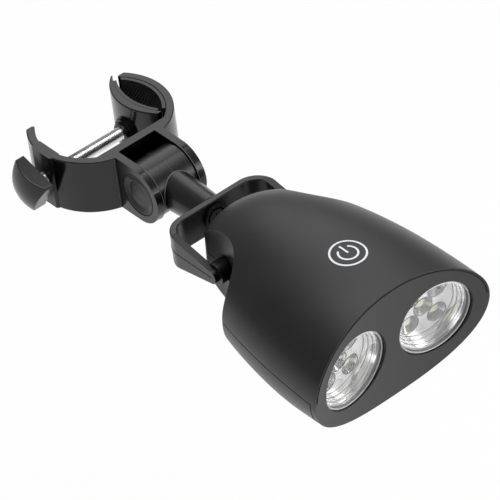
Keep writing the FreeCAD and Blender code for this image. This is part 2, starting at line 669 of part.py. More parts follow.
# Tilt pivot pins and friction washers
pins = []
for side, name in SIDES:
    pin_l = boss_in + TILT_PIN_DEEP - TILT_PIN_X0
    pins.append(cyl(TILT_PIN_R, V(side * TILT_PIN_X0, 0, 0), V(side, 0, 0), pin_l))
    washer = ring(YOKE_BOSS_R, TILT_PIN_R, V(side * TONGUE, 0, 0), V(side, 0, 0), TILT_WASHER_T)
    save_head(name + "_tilt_washer", washer)
save_head("tilt_pins", Part.makeCompound(pins))

# Battery tray, open below, with tabs under the case posts
tray = box(-TRAY_X, TRAY_X, -TRAY_S1, -TRAY_S0, CELL_Z, TRAY_ROOF)
for p in posts:
    tab = cyl(TRAY_TAB_R, p + V(0, 0, TRAY_Z), Z_AXIS, TRAY_ROOF - TRAY_Z)
    arm_x0 = min(p.x, math.copysign(TRAY_X - OVER, p.x))
    arm_x1 = max(p.x, math.copysign(TRAY_X - OVER, p.x))
    tab = tab.fuse(box(arm_x0, arm_x1, p.y - TRAY_TAB_R, p.y + TRAY_TAB_R, TRAY_Z, TRAY_ROOF))
    tray = tray.fuse(tab).cut(cyl(CASE_SCREW_R + EASE, p - V(0, 0, FAR), Z_AXIS, 2 * FAR))
    tray = tray.cut(cyl(CASE_HEAD_R + EASE, p + V(0, 0, TRAY_Z), -Z_AXIS, FAR))

# Cells alternate in direction, each between a flat contact and a bowed leaf contact
cells = []
leaves = []
contacts = []
cell_half = CELL_L / 2
flat_x = cell_half + EASE
leaf_x = flat_x + LEAF_BOW + LEAF_T
for k in range(3):
    s = CELL_S + (k - 1) * CELL_PITCH
    turn = 180 * (k % 2)
    at = V(0, -s, CELL_Z)
    cell = cyl(CELL_R, V(-cell_half, 0, 0), X_AXIS, CELL_L - NUB_H)
    cell = cell.fuse(cyl(NUB_R, V(cell_half - NUB_H, 0, 0), X_AXIS, NUB_H)).removeSplitter()
    flat = box(flat_x, flat_x + CONTACT_T, -CONTACT_HALF, CONTACT_HALF, -CONTACT_HALF, CONTACT_HALF)
    inner = [V(-leaf_x + LEAF_T, -LEAF_HALF, -LEAF_HALF), V(-flat_x, -LEAF_HALF, 0)]
    inner.append(V(-leaf_x + LEAF_T, -LEAF_HALF, LEAF_HALF))
    outer = [p - V(LEAF_T, 0, 0) for p in inner]
    edges = [arc(inner[0], inner[1], inner[2]), line(inner[2], outer[2])]
    edges += [arc(outer[2], outer[1], outer[0]), line(outer[0], inner[0])]
    leaf = face(edges).extrude(V(0, 2 * LEAF_HALF, 0))
    pocket = cyl(CELL_R + EASE, V(-leaf_x, 0, 0), X_AXIS, leaf_x + flat_x + CONTACT_T)
    for piece in (cell, flat, leaf, pocket):
        piece.rotate(V(0, 0, 0), Z_AXIS, turn)
        piece.translate(at)
    cells.append(cell)
    contacts.append(flat)
    leaves.append(leaf)
    tray = tray.cut(pocket)
save_head("battery_tray", tray.removeSplitter())
save_head("battery_cells", Part.makeCompound(cells))
save_head("battery_contacts", Part.makeCompound(contacts))
save_head("battery_springs", Part.makeCompound(leaves))

# Control board on the tray, chip, touch post and touch pad under the symbol
top_z = TRAY_ROOF + BOARD_T
save_head("control_board", box(-BOARD_X, BOARD_X, -BOARD_S1, -BOARD_S0, TRAY_ROOF, top_z))
chip = Part.makeBox(CHIP_SIDE, CHIP_SIDE, BOARD_T, V(CHIP_X, -CHIP_S - CHIP_SIDE, top_z))
save_head("control_chip", chip)
pad_z = half_h(ICON_S) - SHELL_T - 2 * TOUCH_T
save_head("touch_pad", cyl(TOUCH_R, V(0, -ICON_S, pad_z - TOUCH_T), Z_AXIS, TOUCH_T))
save_head("touch_post", cyl(TOUCH_POST_R, V(0, -ICON_S, top_z), Z_AXIS, pad_z - TOUCH_T - top_z))

# Pairs of leads from the control board to the lamp boards
leads = []
for side, name in SIDES:
    for x in LEAD_X:
        start = V(side * x, -LEAD_S0, top_z)
        reach = LEAD_S1 - LEAD_S0
        bend = start + V(0, -reach * (1 - math.sqrt(0.5)), LEAD_RISE * math.sqrt(0.5))
        path = Part.Wire([arc(start, bend, start + V(0, -reach, LEAD_RISE))])
        section = Part.Wire([Part.makeCircle(LEAD_R, start, Z_AXIS)])
        leads.append(path.makePipeShell([section], True, False))
save_head("lamp_leads", Part.makeCompound(leads))

# Four case screws
fixings = []
for p in posts:
    under = p + V(0, 0, TRAY_Z)
    fixing = cyl(CASE_SCREW_R, under, Z_AXIS, CASE_SCREW_L - TRAY_Z)
    fixing = fixing.fuse(cyl(CASE_HEAD_R, under, -Z_AXIS, CASE_HEAD_H)).removeSplitter()
    fixings.append(fixing.cut(cross_recess(under - V(0, 0, CASE_HEAD_H), -Z_AXIS)))
save_head("case_screws", Part.makeCompound(fixings))
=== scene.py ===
import json
import math

import bpy
from mathutils import Matrix, Vector
from mathutils.bvhtree import BVHTree


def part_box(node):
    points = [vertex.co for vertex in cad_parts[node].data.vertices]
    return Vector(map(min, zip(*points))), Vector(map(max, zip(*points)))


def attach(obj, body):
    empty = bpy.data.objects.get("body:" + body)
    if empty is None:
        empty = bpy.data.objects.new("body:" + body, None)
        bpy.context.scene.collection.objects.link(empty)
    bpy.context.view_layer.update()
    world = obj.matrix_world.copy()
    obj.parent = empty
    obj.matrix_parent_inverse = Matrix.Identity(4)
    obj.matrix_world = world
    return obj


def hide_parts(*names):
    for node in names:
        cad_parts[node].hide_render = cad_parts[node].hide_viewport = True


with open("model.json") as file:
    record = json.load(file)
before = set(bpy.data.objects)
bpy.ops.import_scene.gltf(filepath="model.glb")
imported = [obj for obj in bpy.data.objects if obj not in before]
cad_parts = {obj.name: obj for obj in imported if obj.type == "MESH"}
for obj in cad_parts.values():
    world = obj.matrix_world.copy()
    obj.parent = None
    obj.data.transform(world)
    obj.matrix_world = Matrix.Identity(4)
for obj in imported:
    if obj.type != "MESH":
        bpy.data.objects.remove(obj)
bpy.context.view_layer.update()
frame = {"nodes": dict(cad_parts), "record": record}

nodes = frame["nodes"]
MM = 0.001

# Places taken from the model, in millimetres in the row frame
TILT_PIVOT = Vector((-3.8, -87.9, 0.0))
HEAD_TILT = 3.6
SCREW_AXIS_Y = -0.6
CLAMP_H = 23.0
CLEVIS_X = -3.8
CLEVIS_Y = -33.4
EAR_IN = 8.5
EAR_OUT = 11.45
EAR_R = 11.5
CAP_R = 8.5
DISH_X = 10.6
BARREL_R = 10.9
NECK_R0 = 8.2
NECK_R1 = 6.5
NECK_L = 27.04

# Front face and light engines, in the head's own frame
FACE_S = 68.7
FACE_R = 149.0
FACE_RAKE = 2.4
LENS_X = 18.57
RIM_R0 = 14.3
RIM_R1 = 14.6
LED_RING = 8.2
BOWL_R = 4.0
CUP_DEPTH = 7.2
CUP_IN = 12.8
CUP_STEPS = 6
CUP_STEP = 0.22
CUP_RISE = 0.9

# Camera, fitted to the photograph's edges
CAMERA_AIM = Vector((8.21, -64.79, -22.35))
CAMERA_AZIMUTH = -36.0
CAMERA_ELEVATION = 39.366
CAMERA_ROLL = 7.372
CAMERA_DISTANCE = 1400.0
CAMERA_LENS = 280.4


def metres(v):
    return Vector(v) * MM


HEAD = Matrix.Translation(metres(TILT_PIVOT)) @ Matrix.Rotation(math.radians(HEAD_TILT), 4, "X")
HEAD_SIDE = HEAD.to_3x3() @ Vector((1, 0, 0))
HEAD_REAR = HEAD.to_3x3() @ Vector((0, 1, 0))
HEAD_UP = HEAD.to_3x3() @ Vector((0, 0, 1))
SIDES = ((-1, "left"), (1, "right"))


def lens_matrix(side):
    """Row frame from a light engine's own frame: origin on the front face, +Z out of the lens"""
    toe = math.asin(LENS_X / FACE_R)
    depth = FACE_R - math.sqrt(FACE_R ** 2 - LENS_X ** 2)
    hinge = Matrix.Translation(metres((0, -FACE_S, 0)))
    rake = hinge @ Matrix.Rotation(math.radians(FACE_RAKE), 4, "X") @ hinge.inverted()
    seat = Matrix.Translation(metres((side * LENS_X, -FACE_S - depth, 0)))
    turn = Matrix.Rotation(-side * toe, 4, "Z") @ Matrix.Rotation(math.radians(90), 4, "X")
    return HEAD @ rake @ seat @ turn


# Node helpers
def add(tree, kind, inputs=None, **settings):
    n = tree.nodes.new(kind)
    for key, value in settings.items():
        setattr(n, key, value)
    for key, value in (inputs or {}).items():
        if isinstance(value, bpy.types.NodeSocket):
            tree.links.new(value, n.inputs[key])
        else:
            n.inputs[key].default_value = value
    return n


def blank(name):
    mat = bpy.data.materials.new(name)
    mat.use_nodes = True
    tree = mat.node_tree
    return mat, tree, tree.nodes["Principled BSDF"]


def grey(v, warmth=0.0):
    return (v * (1 + warmth), v, v * (1 - warmth), 1.0)


def object_place(tree):
    return add(tree, "ShaderNodeTexCoord").outputs["Object"]


def lens_place(tree, side):
    """Object coordinates turned into a light engine's own frame"""
    seat = lens_matrix(side)
    inputs = {"Vector": object_place(tree), "Location": seat.translation, "Rotation": seat.to_euler()}
    return add(tree, "ShaderNodeMapping", inputs, vector_type="TEXTURE").outputs["Vector"]


def noise(tree, place, scale, detail=2.0, roughness=0.5):
    inputs = {"Vector": place, "Scale": scale, "Detail": detail, "Roughness": roughness}
    return add(tree, "ShaderNodeTexNoise", inputs).outputs["Fac"]


def calc(tree, operation, *terms):
    return add(tree, "ShaderNodeMath", dict(enumerate(terms)), operation=operation).outputs["Value"]


def remap(tree, value, target, source=(0.0, 1.0)):
    inputs = {"Value": value, "From Min": source[0], "From Max": source[1],
              "To Min": target[0], "To Max": target[1]}
    return add(tree, "ShaderNodeMapRange", inputs).outputs["Result"]


def link_grey(tree, bsdf, value, blue=None):
    inputs = {"Red": value, "Green": value, "Blue": value if blue is None else blue}
    colour = add(tree, "ShaderNodeCombineColor", inputs)
    tree.links.new(colour.outputs["Color"], bsdf.inputs["Base Color"])


def link_mottle(tree, bsdf, cloud, dark, light):
    ramp = add(tree, "ShaderNodeValToRGB", {"Fac": cloud})
    for element, place, colour in zip(ramp.color_ramp.elements, CLOUD_SPAN, (dark, light)):
        element.position = place
        element.color = colour
    tree.links.new(ramp.outputs["Color"], bsdf.inputs["Base Color"])


def link_bump(tree, bsdf, height, strength, depth, normal=None):
    inputs = {"Height": height, "Strength": strength, "Distance": depth * MM}
    if normal is not None:
        inputs["Normal"] = normal
    bump = add(tree, "ShaderNodeBump", inputs)
    tree.links.new(bump.outputs["Normal"], bsdf.inputs["Normal"])


# Materials; a cloud noise lies mostly within this span
CLOUD_SPAN = (0.3, 0.7)


def moulded(name, value, rough, grain=3200.0, depth=0.012, edge=0.35, specular=0.2, blue=0.03,
            reach=9.0, coat=0.5, coat_rough=0.2):
    """Moulded plastic: eroded grain, mottling, dust, edges glossier from handling and lighter from a painted
    highlight, painted shade in recessed corners on colour, specular and coat
    """
    mat, tree, bsdf = blank(name)
    place = object_place(tree)
    fine = noise(tree, place, grain, 2.0, 0.6)
    cloud = noise(tree, place, 90.0, 4.0, 0.6)
    dust = add(tree, "ShaderNodeTexVoronoi", {"Vector": place, "Scale": 420.0, "Randomness": 1.0})
    round_edge = add(tree, "ShaderNodeBevel", {"Radius": edge * MM}, samples=4).outputs["Normal"]
    plain = add(tree, "ShaderNodeNewGeometry").outputs["Normal"]
    turn = add(tree, "ShaderNodeVectorMath", {0: round_edge, 1: plain}, operation="DOT_PRODUCT")
    rim = remap(tree, turn.outputs["Value"], (0.0, 1.0), (1.0, 0.8))
    # Ambient occlusion darkens colour, specular and coat in corners and recesses: painted shade
    corner_occlusion = add(tree, "ShaderNodeAmbientOcclusion", {"Distance": reach * MM}, samples=8)
    corner_shade = remap(tree, corner_occlusion.outputs["AO"], (0.12, 1.0), (0.3, 0.8))
    tone = remap(tree, cloud, (value * 0.9, value * 1.12), CLOUD_SPAN)
    # Edges lighter than the rest of the mottled tone: a painted highlight
    mottle_and_edge_highlight = calc(tree, "ADD", tone, calc(tree, "MULTIPLY", rim, 0.02))
    speck = remap(tree, dust.outputs["Distance"], (value * 0.35, 0.0), (0.02, 0.05))
    shaded_colour = calc(tree, "MULTIPLY", calc(tree, "ADD", mottle_and_edge_highlight, speck), corner_shade)
    link_grey(tree, bsdf, shaded_colour, calc(tree, "MULTIPLY", shaded_colour, 1.0 + blue))
    gloss = remap(tree, cloud, (rough - 0.05, rough + 0.05), (0.25, 0.75))
    polished = calc(tree, "SUBTRACT", gloss, calc(tree, "MULTIPLY", rim, 0.12))
    tree.links.new(polished, bsdf.inputs["Roughness"])
    link_bump(tree, bsdf, fine, 0.35, depth, round_edge)
    tree.links.new(calc(tree, "MULTIPLY", corner_shade, specular), bsdf.inputs["Specular IOR Level"])
    tree.links.new(calc(tree, "MULTIPLY", corner_shade, coat), bsdf.inputs["Coat Weight"])
    bsdf.inputs["Coat Roughness"].default_value = coat_rough
    return mat


def metal(name, value, rough, brush=0.02, warmth=0.0):
    """Plated metal with fine turning lines and soft clouding in its gloss"""
    mat, tree, bsdf = blank(name)
    place = object_place(tree)
    cloud = noise(tree, place, 260.0, 3.0)
    lines = noise(tree, place, 5200.0, 1.0)
    link_mottle(tree, bsdf, cloud, grey(value * 0.86, warmth), grey(value, warmth))
    tree.links.new(remap(tree, cloud, (rough * 0.75, rough * 1.3)), bsdf.inputs["Roughness"])
    link_bump(tree, bsdf, lines, 0.2, brush)
    bsdf.inputs["Metallic"].default_value = 1.0
    return mat


def clear(name, side, rough=0.02):
    """Clear moulded lens with a trace of flow marks and a frosted rim"""
    mat, tree, bsdf = blank(name)
    flow = noise(tree, object_place(tree), 160.0, 2.0)
    local = lens_place(tree, side)
    flat = add(tree, "ShaderNodeVectorMath", {0: local, 1: (1, 1, 0)}, operation="MULTIPLY")
    radius = add(tree, "ShaderNodeVectorMath", {0: flat.outputs["Vector"]}, operation="LENGTH")
    rim = remap(tree, radius.outputs["Value"], (0.0, 1.0), (RIM_R0 * MM, RIM_R1 * MM))
    haze = remap(tree, flow, (rough * 0.5, rough * 1.6))
    frost = remap(tree, rim, (0.0, 0.3))
    tree.links.new(calc(tree, "ADD", haze, frost), bsdf.inputs["Roughness"])
    link_bump(tree, bsdf, flow, 0.03, 0.1)
    tree.links.new(remap(tree, rim, (1.0, 0.3)), bsdf.inputs["Transmission Weight"])
    tree.links.new(remap(tree, rim, (0.12, 0.8)), bsdf.inputs["Alpha"])
    bsdf.inputs["Base Color"].default_value = (0.96, 0.965, 0.97, 1.0)
    bsdf.inputs["IOR"].default_value = 1.49
    return mat


def mirror(name, side, value, rough):
    """Vapour-plated moulding: satin flat plate, bright stepped wall, painted shade down in its bowls"""
    mat, tree, bsdf = blank(name)
    cloud = noise(tree, object_place(tree), 420.0, 3.0)
    depth = add(tree, "ShaderNodeSeparateXYZ", {"Vector": lens_place(tree, side)}).outputs["Z"]
    plate = calc(tree, "COMPARE", depth, -CUP_DEPTH * MM, 0.12 * MM)
    # Colour darker below the plate's depth: painted shade down in the bowls
    bowl_shade = remap(tree, depth, (1.0, 0.56), (-(CUP_DEPTH + 0.15) * MM, -(CUP_DEPTH + 0.6) * MM))
    tone = remap(tree, cloud, (value * 0.95, value), CLOUD_SPAN)
    link_grey(tree, bsdf, calc(tree, "MULTIPLY", tone, bowl_shade))
    tree.links.new(remap(tree, cloud, (rough * 0.7, rough * 1.3)), bsdf.inputs["Roughness"])
    link_bump(tree, bsdf, cloud, 0.05, 0.05)
    tree.links.new(remap(tree, plate, (0.85, 0.25)), bsdf.inputs["Metallic"])
    return mat


def painted(name, colour, rough, grain=600.0, variation=0.12, metallic=0.0):
    """Even coating with slight mottling, for boards, wraps, printed marks, seam lines and beads of painted
    highlight and painted shade
    """
    mat, tree, bsdf = blank(name)
    cloud = noise(tree, object_place(tree), grain, 3.0)
    dark = tuple(c * (1 - variation) for c in colour) + (1.0,)
    link_mottle(tree, bsdf, cloud, dark, tuple(colour) + (1.0,))
    link_bump(tree, bsdf, cloud, 0.1, 0.05)
    bsdf.inputs["Roughness"].default_value = rough
    bsdf.inputs["Metallic"].default_value = metallic
    return mat


MATERIALS = {
    "black_plastic": moulded("black_plastic", 0.006, 0.36, specular=0.05, coat=0.8, coat_rough=0.16),
    "neck_plastic": moulded("neck_plastic", 0.007, 0.3, depth=0.008, specular=0.17, coat=0.65,
                            coat_rough=0.26),
    "plug_plastic": moulded("plug_plastic", 0.007, 0.4, specular=0.12, coat=0.35),
    "yoke_plastic": moulded("yoke_plastic", 0.011, 0.36, reach=14.0),
    "shell_plastic": moulded("shell_plastic", 0.009, 0.42, grain=2600.0, specular=0.24, coat=0.45,
                             coat_rough=0.42),
    "bezel_plastic": moulded("bezel_plastic", 0.022, 0.45, reach=1.5, coat=0.4, coat_rough=0.4),
    "washer_plastic": moulded("washer_plastic", 0.006, 0.5),
    "tray_plastic": moulded("tray_plastic", 0.015, 0.5),
    "rubber": moulded("rubber", 0.02, 0.45, grain=1800.0, depth=0.02, edge=0.2, blue=0.0, reach=1.2),
    "zinc_steel": metal("zinc_steel", 0.82, 0.28),
    "dark_steel": metal("dark_steel", 0.035, 0.45),
    "brass": metal("brass", 0.62, 0.25, warmth=0.25),
    "clear_lens": clear("clear_lens", 1),
    "left_clear_lens": clear("left_clear_lens", -1),
    "reflector": mirror("reflector", 1, 0.97, 0.1),
    "left_reflector": mirror("left_reflector", -1, 0.97, 0.1),
    # Dark beads: seams and parting lines, and painted shade in creases
    "dark_seam_and_crease_shade": painted("dark_seam_and_crease_shade", (0.002, 0.002, 0.002), 0.8),
    # Grey beads of painted shade on the reflector's bowl rims and steps
    "bowl_edge_shade": painted("bowl_edge_shade", (0.16, 0.16, 0.17), 0.25, metallic=0.4),
    # Light beads of painted highlight along edges, rings and parting lines
    "painted_edge_highlight": painted("painted_edge_highlight", (0.13, 0.13, 0.135), 0.35),
    "led_yellow": painted("led_yellow", (0.97, 0.97, 0.74), 0.35, grain=2500.0, variation=0.05),
    "board_white": painted("board_white", (0.85, 0.85, 0.85), 0.4),
    "board_green": painted("board_green", (0.03, 0.17, 0.07), 0.4),
    "cell_wrap": painted("cell_wrap", (0.2, 0.21, 0.23), 0.3),
    "lead_red": painted("lead_red", (0.45, 0.02, 0.02), 0.45),
    "print_white": painted("print_white", (0.74, 0.75, 0.8), 0.45, grain=900.0, variation=0.06),
}
for part in frame["record"]["subparts"]:
    target = nodes[part["node"]]
    target.data.materials.clear()
    target.data.materials.append(MATERIALS[part["material_slot"]])
nodes["left_lens"].data.materials[0] = MATERIALS["left_clear_lens"]
nodes["left_reflector"].data.materials[0] = MATERIALS["left_reflector"]
nodes["left_pivot_plug"].data.materials[0] = MATERIALS["plug_plastic"]
nodes["right_pivot_plug"].data.materials[0] = MATERIALS["plug_plastic"]


# Mesh helpers
def mesh_object(name, verts, faces, slot, body, smooth=True):
    mesh = bpy.data.meshes.new(name)
    mesh.from_pydata([tuple(v) for v in verts], [], faces)
    mesh.validate()
    mesh.update()
    obj = bpy.data.objects.new(name, mesh)
    bpy.context.scene.collection.objects.link(obj)
    mesh.materials.append(MATERIALS[slot])
    for poly in mesh.polygons:
        poly.use_smooth = smooth
    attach(obj, body)
    return obj


def tube_faces(rings, around):
    faces = []
    for i in range(rings - 1):
        for j in range(around):
            k = (j + 1) % around
            faces.append((i * around + j, i * around + k, (i + 1) * around + k, (i + 1) * around + j))
    faces.append(tuple(reversed(range(around))))
    faces.append(tuple((rings - 1) * around + j for j in range(around)))
    return faces


# Clamp screw with a rolled M5 thread
THREAD_R = 2.5
THREAD_PITCH = 0.8
THREAD_DEPTH = 0.42
THREAD_AROUND = 28
THREAD_STEPS = 7
TIP_R = 3.3
TIP_L = 1.9


def thread_radius(x, angle):
    phase = (x / THREAD_PITCH - angle / (2 * math.pi)) % 1.0
    crest = abs(2.0 * phase - 1.0)
    return THREAD_R - THREAD_DEPTH * min(1.0, max(0.0, 1.25 * crest - 0.1))


def threaded_screw():
    low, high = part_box("clamp_screw")
    x0 = low.x / MM
    x1 = high.x / MM - TIP_L
    around = THREAD_AROUND
    steps = int((x1 - x0) / THREAD_PITCH * THREAD_STEPS)
    verts = []
    for i in range(steps + 1):
        x = x0 + (x1 - x0) * i / steps
        for j in range(around):
            a = 2 * math.pi * j / around
            r = thread_radius(x, a)
            verts.append(metres((x, SCREW_AXIS_Y + r * math.cos(a), r * math.sin(a))))
    for x, r in ((x1, TIP_R), (x1 + TIP_L, TIP_R)):
        for j in range(around):
            a = 2 * math.pi * j / around
            verts.append(metres((x, SCREW_AXIS_Y + r * math.cos(a), r * math.sin(a))))
    faces = tube_faces(steps + 3, around)
    obj = mesh_object("threaded_screw", verts, faces, "zinc_steel", "screw", smooth=False)
    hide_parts("clamp_screw")


threaded_screw()

# Ribbed rubber liners
RIB_PITCH = 1.3
RIB_DEPTH = 0.5
RIB_LEAN = 0.65
RIB_FADE = 3.0
LINER_ACROSS = 150
LINER_UP = 100
HOOK_LINER_R = 20.95
JAW_LINER_X = 35.6
JAW_LINER_R = 26.1
LINER_T = 1.25


def rib(run):
    return abs(2 * ((run / RIB_PITCH) % 1.0) - 1.0)


def ribbed_liner(name, node, body, centre_x, radius_outer, thick, sign):
    """Curved strip with crossed ribs on its grip face; sign is +1 where that face looks towards -X"""
    low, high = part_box(node)
    y0 = low.y / MM
    y1 = high.y / MM
    z0 = low.z / MM
    z1 = high.z / MM
    a0 = math.asin(y0 / radius_outer)
    a1 = math.asin(y1 / radius_outer)
    across = LINER_ACROSS
    up = LINER_UP
    verts = []
    for i in range(across + 1):
        a = a0 + (a1 - a0) * i / across
        for j in range(up + 1):
            z = z0 + (z1 - z0) * j / up
            wave = rib(a * radius_outer + RIB_LEAN * z) * rib(a * radius_outer - RIB_LEAN * z)
            edge = min(RIB_FADE, j, up - j, i, across - i) / RIB_FADE
            r = radius_outer - thick + RIB_DEPTH * wave * edge
            verts.append(metres((centre_x + sign * r * math.cos(a), r * math.sin(a), z)))
    base = len(verts)
    for i in range(across + 1):
        a = a0 + (a1 - a0) * i / across
        for j in range(up + 1):
            z = z0 + (z1 - z0) * j / up
            r = radius_outer
            verts.append(metres((centre_x + sign * r * math.cos(a), r * math.sin(a), z)))
    n = up + 1
    faces = []
    for i in range(across):
        for j in range(up):
            k = i * n + j
            faces.append((k, k + 1, k + n + 1, k + n))
            faces.append((base + k, base + k + n, base + k + n + 1, base + k + 1))
    for i in range(across):
        for j in (0, up):
            k = i * n + j
            faces.append((k, k + n, base + k + n, base + k))
    for j in range(up):
        for i in (0, across):
            k = i * n + j
            faces.append((k, k + 1, base + k + 1, base + k))
    obj = mesh_object(name, verts, faces, "rubber", body, smooth=False)
    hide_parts(node)


ribbed_liner("ribbed_hook_liner", "hook_pad", "clamp", 0.0, HOOK_LINER_R, LINER_T, 1)
ribbed_liner("ribbed_jaw_liner", "jaw_pad", "jaw", JAW_LINER_X, JAW_LINER_R, LINER_T, -1)

# Fine line work as thin beads on the surface: dark seams and parting lines, painted shade in creases and on
# the reflector's rims, and painted highlights along edges, rings and parting lines
LINE_SIDES = 6
EAR_LINE = 0.13
PLUG_RINGS = (3.0, 5.6)
PLUG_LINE = 0.09
PLUG_SEAM_LINE = 0.17
PLUG_SEAM_SINK = 0.05
CORNER_LINE = 0.1
# Each corner between ear and arm gets a dark bead of painted shade in the crease and a bead of painted
# highlight beside it
CORNER_LINES = ((0.05, "dark_seam_and_crease_shade"), (0.55, "painted_edge_highlight"))
CORNER_END = 0.6
BARREL_LINE = 0.07
NECK_LINE = 0.2
ARM_LINE = 0.14
ARM_START = 28.0
ARM_RUN = 27.0
ARM_HIGH = 0.05
SEAM_LINE = 0.32
SEAM_FLAT = 0.1
SPLIT_S0 = -3.0
SPLIT_S1 = 71.5
SPLIT_PROBE = 0.25
SPLIT_DROP = 0.36
COVER_END_S = (50.0, 80.0)
COVER_END_TOP = 0.6
COVER_END_RUN = 11.5
COVER_SIDE = 20.0
BEZEL_LINE = 0.24
BEZEL_TURN0 = 2.0
BEZEL_TURN = 176.0
BEZEL_STEP = 0.2
BEZEL_SINK = 0.1
FACE_REACH = 43.0
FACE_FRONT = 120.0
FACE_FACING = 0.8
BOWL_LINE = 0.18
BOWL_SINK = 0.1
STEP_LINE = 0.14
OUTSIDE = 80.0


def thin_line(name, points, radius, slot, body, across, closed=False, flat=1.0):
    """Bead along the points, flattened square to across, a direction that the line never runs along"""
    count = len(points)
    verts = []
    faces = []
    for i, p in enumerate(points):
        before = points[i - 1] if closed or i > 0 else p
        after = points[(i + 1) % count] if closed or i < count - 1 else p
        along = (after - before).normalized()
        side = along.cross(Vector(across)).normalized()
        up = side.cross(along)
        for k in range(LINE_SIDES):
            a = 2 * math.pi * k / LINE_SIDES
            verts.append(p + (side * math.cos(a) * flat + up * math.sin(a)) * radius * MM)
    for i in range(count if closed else count - 1):
        here = i * LINE_SIDES
        there = (i + 1) % count * LINE_SIDES
        for k in range(LINE_SIDES):
            m = (k + 1) % LINE_SIDES
            faces.append((here + k, here + m, there + m, there + k))
    if not closed:
        faces.append(tuple(reversed(range(LINE_SIDES))))
        faces.append(tuple((count - 1) * LINE_SIDES + k for k in range(LINE_SIDES)))
    mesh_object(name, verts, faces, slot, body)


def node_tree(name):
    return BVHTree.FromObject(nodes[name], bpy.context.evaluated_depsgraph_get())


def turns(count):
    return [2 * math.pi * i / count for i in range(count)]


def circle_x(x, radius):
    """Circle about the clevis pivot, in a plane square to X"""
    points = []
    for a in turns(72):
        points.append(metres((CLEVIS_X + x, CLEVIS_Y + radius * math.cos(a), radius * math.sin(a))))
    return points


def clevis_lines():
    """Painted highlights along the ear edges and the rings of the pivot plugs, dark seams round the plugs,
    and at each corner between ears and arm a painted shade line with a painted highlight beside it
    """
    clamp = node_tree("clamp_body")
    square = (1, 0, 0)
    for side, name in SIDES:
        # Painted highlight along each ear's edge
        arc = [p for p in circle_x(side * EAR_IN, EAR_R) if p.y < (CLEVIS_Y + 0.2) * MM]
        thin_line(name + "_ear_edge", arc, EAR_LINE, "painted_edge_highlight", "clamp", square)
    for radius in PLUG_RINGS:
        # Painted highlights on the rings of the plug dishes
        ring = circle_x(-DISH_X, radius)
        thin_line("plug_ring_%d" % radius, ring, PLUG_LINE, "painted_edge_highlight", "clamp", square, True)
    for side, name in SIDES:
        ring = circle_x(side * (EAR_OUT - PLUG_SEAM_SINK), CAP_R)
        thin_line(name + "_plug_seam", ring, PLUG_SEAM_LINE, "dark_seam_and_crease_shade", "clamp", square, True)
        for shift, slot in CORNER_LINES:
            x = CLEVIS_X + side * (EAR_OUT + shift)
            ends = []
            for t in (-1.0, 0.0, 1.0):
                start = metres((x, CLEVIS_Y - 2 * EAR_R, (CLAMP_H / 2 - CORNER_END) * t))
                ends.append(clamp.ray_cast(start, Vector((0, 1, 0)))[0])
            thin_line("%s_corner_%s" % (name, slot), ends, CORNER_LINE, slot, "clamp", square)


def barrel_line():
    # Raised parting ring over the barrel, coloured as a painted highlight
    ring = [p for p in circle_x(0.0, BARREL_R) if p.z > 0 and p.y > (CLEVIS_Y - NECK_R0) * MM]
    thin_line("barrel_parting", ring, BARREL_LINE, "painted_edge_highlight", "knuckle", (1, 0, 0))


def neck_root():
    """Painted highlight along the saddle curve where the tapered neck leaves the barrel"""
    points = []
    for a in turns(72):
        r = NECK_R0
        for step in range(6):
            y = math.sqrt(BARREL_R ** 2 - (r * math.sin(a)) ** 2)
            r = NECK_R0 - (NECK_R0 - NECK_R1) * y / NECK_L
        points.append(metres((CLEVIS_X + r * math.cos(a), CLEVIS_Y - y, r * math.sin(a))))
    thin_line("neck_root", points, NECK_LINE, "painted_edge_highlight", "knuckle", (0, 1, 0), True)


def yoke_parting():
    """Mid-height line along the outside of the U"""
    yoke = node_tree("yoke")
    for side, name in SIDES:
        points = []
        for i in range(60):
            y = CLEVIS_Y - ARM_START - ARM_RUN * i / 59
            start = metres((CLEVIS_X + side * OUTSIDE, y, ARM_HIGH))
            points.append(yoke.ray_cast(start, Vector((-side, 0, 0)))[0])
        thin_line(name + "_arm_parting", points, ARM_LINE, "dark_seam_and_crease_shade", "yoke", (0, 0, 1))


def flank_hit(tree, side, s, z):
    """Outside point of a piece of the head at a place along it and a height, seen square from one side"""
    return tree.ray_cast(HEAD @ metres((side * OUTSIDE, -s, z)), HEAD_SIDE * -side)[0]


def split_seam(shell, side, name):
    points = []
    for i in range(70):
        s = SPLIT_S0 + (SPLIT_S1 - SPLIT_S0) * i / 69
        hit = flank_hit(shell, side, s, SPLIT_PROBE)
        if hit is not None:
            points.append(hit - HEAD_UP * SPLIT_DROP * MM)
    thin_line(name + "_split_seam", points, SEAM_LINE, "dark_seam_and_crease_shade", "head", HEAD_UP, flat=SEAM_FLAT)


def cover_end(cover, side, name):
    """Front end of the battery cover, found by halving at each height"""
    points = []
    for i in range(30):
        z = -COVER_END_TOP - COVER_END_RUN * i / 29
        rear, fore = COVER_END_S
        for step in range(14):
            middle = (fore + rear) / 2
            hit = flank_hit(cover, side, middle, z)
            if hit is not None and (HEAD.inverted() @ hit).x * side > COVER_SIDE * MM:
                rear = middle
                found = hit
            else:
                fore = middle
        points.append(found)
    thin_line(name + "_cover_end", points, SEAM_LINE, "dark_seam_and_crease_shade", "cover", HEAD_REAR, flat=SEAM_FLAT)


def face_hit(tree, r, turn):
    """Point of the front face at a radius and turn about the head's axis, or None past its edge"""
    start = HEAD @ metres((r * math.cos(turn), -FACE_FRONT, r * math.sin(turn)))
    hit = tree.ray_cast(start, HEAD_REAR)
    on_face = hit[0] is not None and hit[1].dot(HEAD_REAR) < -FACE_FACING
    return hit[0] if on_face else None


